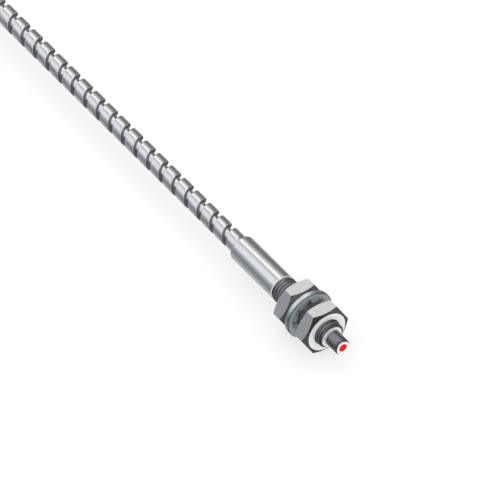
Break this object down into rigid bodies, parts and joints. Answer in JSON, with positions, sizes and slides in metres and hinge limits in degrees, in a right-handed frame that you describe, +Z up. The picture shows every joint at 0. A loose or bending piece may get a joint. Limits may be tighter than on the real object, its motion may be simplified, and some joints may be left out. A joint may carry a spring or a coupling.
{
  "type": "fibre-optic photoelectric sensing head",
  "caption": "Threaded fibre-optic light-guide head of a photoelectric sensor, with two hex nuts and a lock washer, on a stainless strip-wound hose that ends in a twin-ferrule connector.",
  "frame": {"origin": "centre of the polished optical face at the front of the tip thread", "axes": "+X along the optical axis from the head towards the target, +Z up; the hose runs off along -X, and the head lies level with its lock washer's rim on the floor, 5.5 mm below the origin"},
  "size_m": [0.1948, 0.0655, 0.011],
  "materials": {
    "sleeve_steel": "polished stainless steel",
    "hose_steel": "polished stainless strip, wound",
    "thread_steel": "dark turned steel thread, bright end faces",
    "polished_steel": "ground and polished stainless steel",
    "nut_steel": "satin nickel-plated flats, darker chamfers",
    "washer_steel": "zinc-plated spring steel",
    "lit_fibres": "polished glass fibre ends, lit red",
    "dark_fibres": "polished glass fibre ends, unlit",
    "epoxy": "cast amber epoxy",
    "brass_ring": "turned brass",
    "black_nylon": "moulded black nylon",
    "block_aluminium": "bead-blasted clear anodised aluminium",
    "screw_steel": "machined stainless steel"
  },
  "bodies": {
    "light_guide": {"head_body": "thread_steel", "tip_ferrule": "polished_steel", "common_fibre_bundle": "lit_fibres", "head_potting": "epoxy", "hose_end_ring_front": "brass_ring", "head_sleeve": "sleeve_steel", "conduit": "hose_steel", "conduit_coil": "hose_steel", "conduit_tail": "hose_steel", "coil_ties": "black_nylon", "tail_sleeve": "sleeve_steel", "hose_end_ring_rear": "brass_ring", "splitter_body": "block_aluminium", "splitter_cover": "block_aluminium", "splitter_screws": "screw_steel", "splitter_potting": "epoxy", "emitter_ferrule": "polished_steel", "receiver_ferrule": "polished_steel", "emitter_fibre_bundle": "lit_fibres", "receiver_fibre_bundle": "dark_fibres"},
    "lock_washer": {"lock_washer": "washer_steel"},
    "rear_nut": {"rear_nut": "nut_steel"},
    "front_nut": {"front_nut": "nut_steel"}
  },
  "joints": [
    {"name": "lock_washer_travel", "type": "slide", "parent": "light_guide", "child": "lock_washer", "axis": [1, 0, 0], "range_m": [-0.00394, 0.00094]},
    {"name": "rear_nut_turn", "type": "hinge", "parent": "lock_washer", "child": "rear_nut", "pos_m": [-0.0152, 0, 0], "axis": [1, 0, 0], "range_deg": [-1891, 451]},
    {"name": "front_nut_travel", "type": "slide", "parent": "light_guide", "child": "front_nut", "axis": [1, 0, 0], "range_m": [-0.001, 0.0046]}
  ],
  "couplings": [
    {"joint": "rear_nut_turn", "follows": "lock_washer_travel", "rad_per_m": 8377.6}
  ]
}
